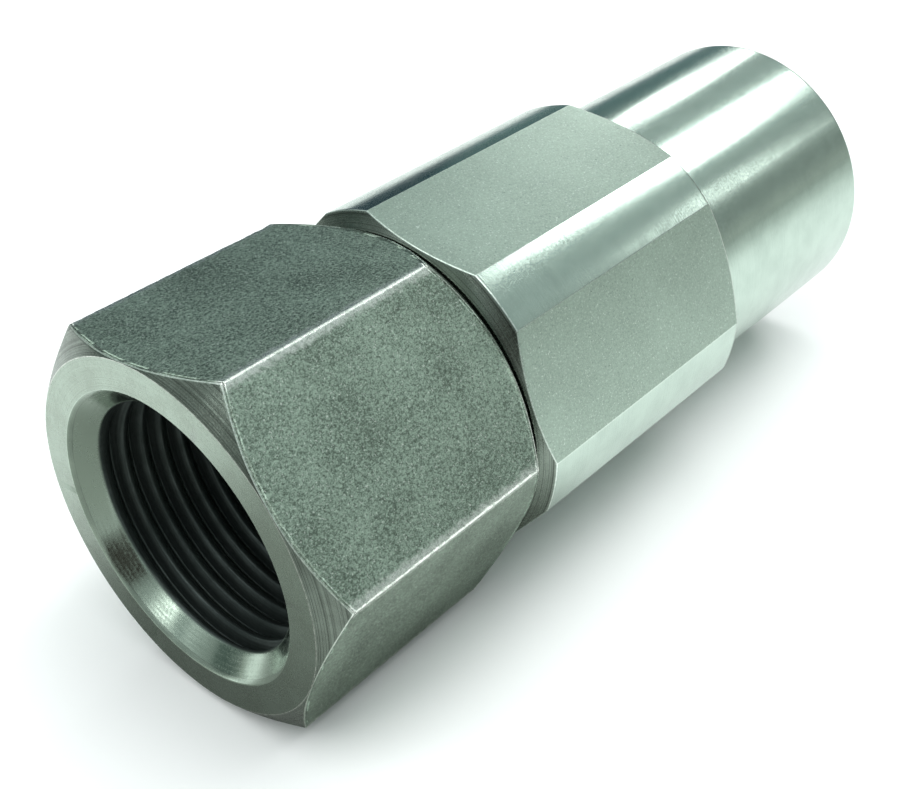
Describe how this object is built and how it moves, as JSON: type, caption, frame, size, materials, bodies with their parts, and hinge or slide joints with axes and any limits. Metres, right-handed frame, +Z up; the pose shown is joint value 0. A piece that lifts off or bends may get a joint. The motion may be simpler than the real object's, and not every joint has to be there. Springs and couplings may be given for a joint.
{
  "type": "in-line check valve",
  "caption": "Two-piece hexagonal in-line check valve with female threaded ports and a spring-loaded poppet that slides off its seat.",
  "frame": {"origin": "on the flow axis, halfway between the inlet face and the outlet face", "axes": "+X along the flow, from the inlet in the end cap to the outlet in the round tail; +Z up with the valve lying as it rests, on a corner of the cap's hexagon and a turned corner of the body's; +Y to the left looking along +X"},
  "size_m": [0.09, 0.0402, 0.0368],
  "materials": {
    "cap_steel": "stainless, grey-green blasted flats, turned chamfers and worn bright edges",
    "body_steel": "stainless, satin flats, polished turned corners and tail",
    "turned_steel": "stainless, fine turned finish",
    "ground_steel": "stainless, ground finish",
    "spring_steel": "drawn stainless wire",
    "screw_steel": "hardened steel, dull",
    "seal_rubber": "black fluoro-rubber, smooth",
    "white_ptfe": "white PTFE, waxy",
    "seal_peek": "machined tan polymer"
  },
  "bodies": {
    "housing": {"inlet_cap": "cap_steel", "body": "body_steel", "cap_o_ring": "seal_rubber", "backup_ring": "white_ptfe", "seat_ring": "ground_steel", "seat_o_ring": "seal_rubber", "spring": "spring_steel", "spring_shim": "screw_steel", "spring_guide": "turned_steel", "guide_bush": "white_ptfe"},
    "poppet_assembly": {"poppet": "ground_steel", "poppet_seal": "seal_peek", "seal_retainer": "turned_steel", "lock_washer": "spring_steel", "retainer_screw": "screw_steel"}
  },
  "joints": [
    {"name": "poppet_lift", "type": "slide", "parent": "housing", "child": "poppet_assembly", "axis": [1, 0, 0], "range_m": [0, 0.005], "stiffness_N_per_m": 1050, "springref_m": -0.0085, "deforming": ["spring"]}
  ]
}
